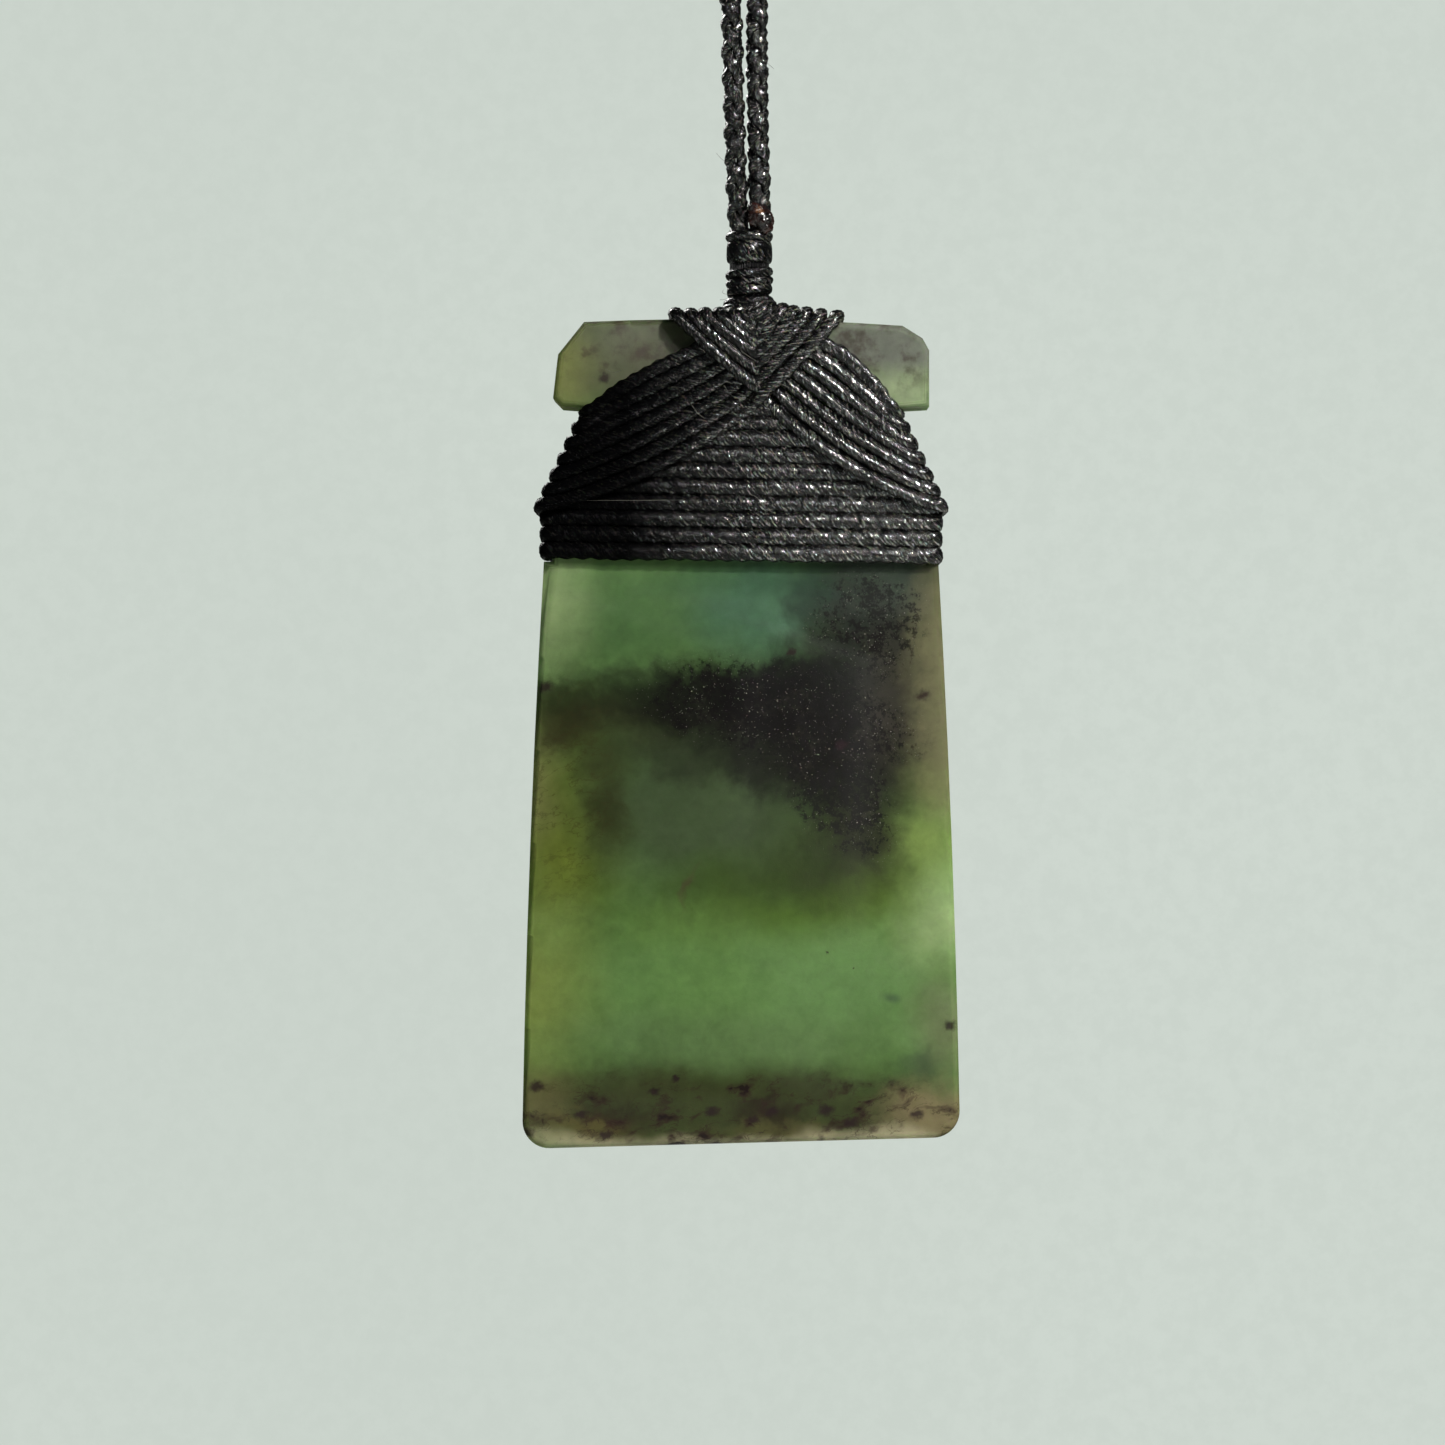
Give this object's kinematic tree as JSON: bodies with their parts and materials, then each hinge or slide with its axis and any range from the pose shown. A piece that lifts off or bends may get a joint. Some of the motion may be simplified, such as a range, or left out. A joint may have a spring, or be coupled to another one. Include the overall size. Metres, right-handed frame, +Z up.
{
  "type": "toki adze pendant",
  "caption": "Flat stone adze pendant lashed at its throat with waxed cord in a crossed pattern and hung from a long loop of round braid.",
  "frame": {"origin": "underside of the neck cord at the top of its loop, where the pendant hangs", "axes": "+Z up along the hanging pendant, +X to the right seen from the front, +Y from the front face to the back"},
  "size_m": [0.1134, 0.0088, 0.3633],
  "materials": {
    "stone": "polished, slightly translucent green stone with dark cloudy inclusions",
    "lashing_cord": "black waxed polyester cord with a soft sheen",
    "neck_cord": "black waxed cord in a round braid of four strands",
    "melted_cord": "cord end melted to a glossy brown black drop"
  },
  "bodies": {
    "root": {"stone_blade": "stone", "waist_turn_1": "lashing_cord", "waist_turn_2": "lashing_cord", "waist_turn_3": "lashing_cord", "waist_turn_4": "lashing_cord", "waist_turn_5": "lashing_cord", "waist_turn_6": "lashing_cord", "waist_turn_7": "lashing_cord", "waist_turn_8": "lashing_cord", "cross_turn_left_1": "lashing_cord", "cross_turn_left_2": "lashing_cord", "cross_turn_left_3": "lashing_cord", "cross_turn_left_4": "lashing_cord", "cross_turn_left_5": "lashing_cord", "cross_turn_left_6": "lashing_cord", "cross_turn_left_7": "lashing_cord", "cross_turn_right_1": "lashing_cord", "cross_turn_right_2": "lashing_cord", "cross_turn_right_3": "lashing_cord", "cross_turn_right_4": "lashing_cord", "cross_turn_right_5": "lashing_cord", "cross_turn_right_6": "lashing_cord", "cross_turn_right_7": "lashing_cord", "neck_root": "lashing_cord", "neck_band_lower": "lashing_cord", "neck_band_upper": "lashing_cord", "singed_end": "melted_cord", "neck_braid": "neck_cord"}
  },
  "joints": []
}
